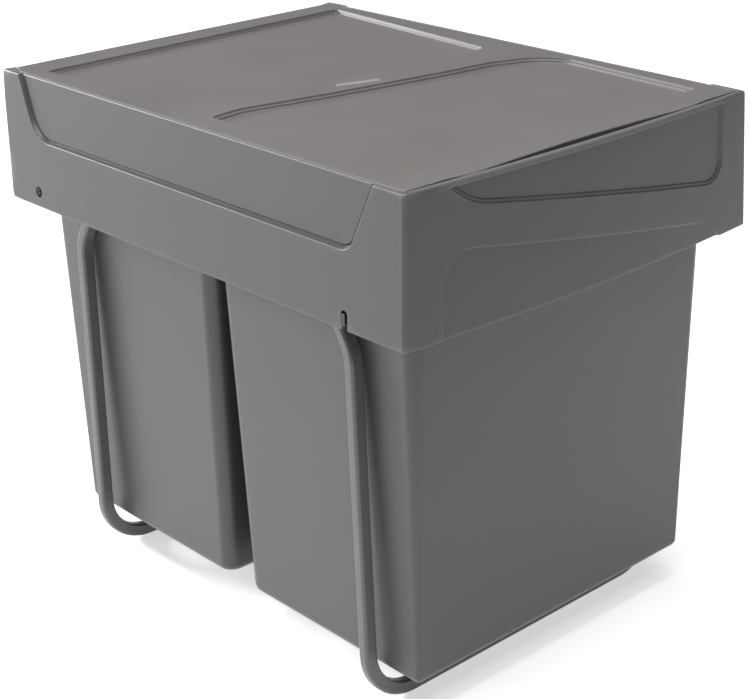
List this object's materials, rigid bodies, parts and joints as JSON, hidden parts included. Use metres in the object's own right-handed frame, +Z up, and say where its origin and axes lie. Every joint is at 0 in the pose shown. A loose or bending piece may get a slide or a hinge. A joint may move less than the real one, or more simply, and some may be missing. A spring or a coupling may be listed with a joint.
{
  "type": "pull out bin frame",
  "caption": "Floor-fixed pull-out bin frame: bent steel tube frame, telescopic runners, sliding moulded surround with hinged lid, hanging waste bins.",
  "frame": {"origin": "centre of the overall box in plan, on the cabinet floor that the tube frame stands on", "axes": "+X to the right seen from the front, -Y towards the user (pull direction), +Z up"},
  "size_m": [0.4002, 0.5468, 0.4677],
  "materials": {
    "surround_plastic": "fine-grained anthracite moulding",
    "lid_plastic": "fine-grained anthracite moulding, slightly warm",
    "badge_plastic": "light grey blank plate",
    "bin_plastic": "smooth anthracite moulding",
    "tube_paint": "anthracite powder coat",
    "runner_steel": "zinc plated",
    "ball_steel": "polished",
    "fastener_steel": "zinc plated",
    "joiner_plastic": "black nylon",
    "buffer_rubber": "matt"
  },
  "bodies": {
    "frame": {"side_tube_left": "tube_paint", "side_tube_right": "tube_paint", "front_floor_bar": "tube_paint", "rear_floor_bar": "tube_paint", "bar_joiners": "joiner_plastic", "outer_runner_left": "runner_steel", "outer_runner_right": "runner_steel", "runner_rivets": "fastener_steel", "buffer_stops": "buffer_rubber"},
    "carriage": {"cover_frame": "surround_plastic", "inner_runner_left": "runner_steel", "inner_runner_right": "runner_steel", "front_hook_left": "runner_steel", "front_hook_right": "runner_steel", "rear_screws": "fastener_steel"},
    "lid": {"lid": "lid_plastic", "lid_badge": "badge_plastic", "lid_pin_left": "fastener_steel", "lid_pin_right": "fastener_steel"},
    "front_bin": {"front_bin": "bin_plastic"},
    "rear_bin": {"rear_bin": "bin_plastic"},
    "middle_left": {"middle_runner_left": "runner_steel"},
    "outer_cage_left": {"outer_ball_cage_left": "runner_steel", "outer_balls_left": "ball_steel"},
    "inner_cage_left": {"inner_ball_cage_left": "runner_steel", "inner_balls_left": "ball_steel"},
    "middle_right": {"middle_runner_right": "runner_steel"},
    "outer_cage_right": {"outer_ball_cage_right": "runner_steel", "outer_balls_right": "ball_steel"},
    "inner_cage_right": {"inner_ball_cage_right": "runner_steel", "inner_balls_right": "ball_steel"}
  },
  "joints": [
    {"name": "pull_out", "type": "slide", "parent": "frame", "child": "carriage", "axis": [0, -1, 0], "range_m": [0, 0.48]},
    {"name": "lid_hinge", "type": "hinge", "parent": "carriage", "child": "lid", "pos_m": [0, 0.2673, 0.4625], "axis": [-1, 0, 0], "range_deg": [0, 95]},
    {"name": "front_bin_lift", "type": "slide", "parent": "carriage", "child": "front_bin", "axis": [0, 0, 1], "range_m": [0, 0.015]},
    {"name": "rear_bin_lift", "type": "slide", "parent": "carriage", "child": "rear_bin", "axis": [0, 0, 1], "range_m": [0, 0.015]},
    {"name": "middle_left_slide", "type": "slide", "parent": "frame", "child": "middle_left", "axis": [0, -1, 0], "range_m": [0, 0.24]},
    {"name": "outer_cage_left_slide", "type": "slide", "parent": "frame", "child": "outer_cage_left", "axis": [0, -1, 0], "range_m": [0, 0.12]},
    {"name": "inner_cage_left_slide", "type": "slide", "parent": "frame", "child": "inner_cage_left", "axis": [0, -1, 0], "range_m": [0, 0.36]},
    {"name": "middle_right_slide", "type": "slide", "parent": "frame", "child": "middle_right", "axis": [0, -1, 0], "range_m": [0, 0.24]},
    {"name": "outer_cage_right_slide", "type": "slide", "parent": "frame", "child": "outer_cage_right", "axis": [0, -1, 0], "range_m": [0, 0.12]},
    {"name": "inner_cage_right_slide", "type": "slide", "parent": "frame", "child": "inner_cage_right", "axis": [0, -1, 0], "range_m": [0, 0.36]}
  ],
  "couplings": [
    {"joint": "middle_left_slide", "follows": "pull_out", "ratio": 0.5},
    {"joint": "outer_cage_left_slide", "follows": "pull_out", "ratio": 0.25},
    {"joint": "inner_cage_left_slide", "follows": "pull_out", "ratio": 0.75},
    {"joint": "middle_right_slide", "follows": "pull_out", "ratio": 0.5},
    {"joint": "outer_cage_right_slide", "follows": "pull_out", "ratio": 0.25},
    {"joint": "inner_cage_right_slide", "follows": "pull_out", "ratio": 0.75}
  ]
}
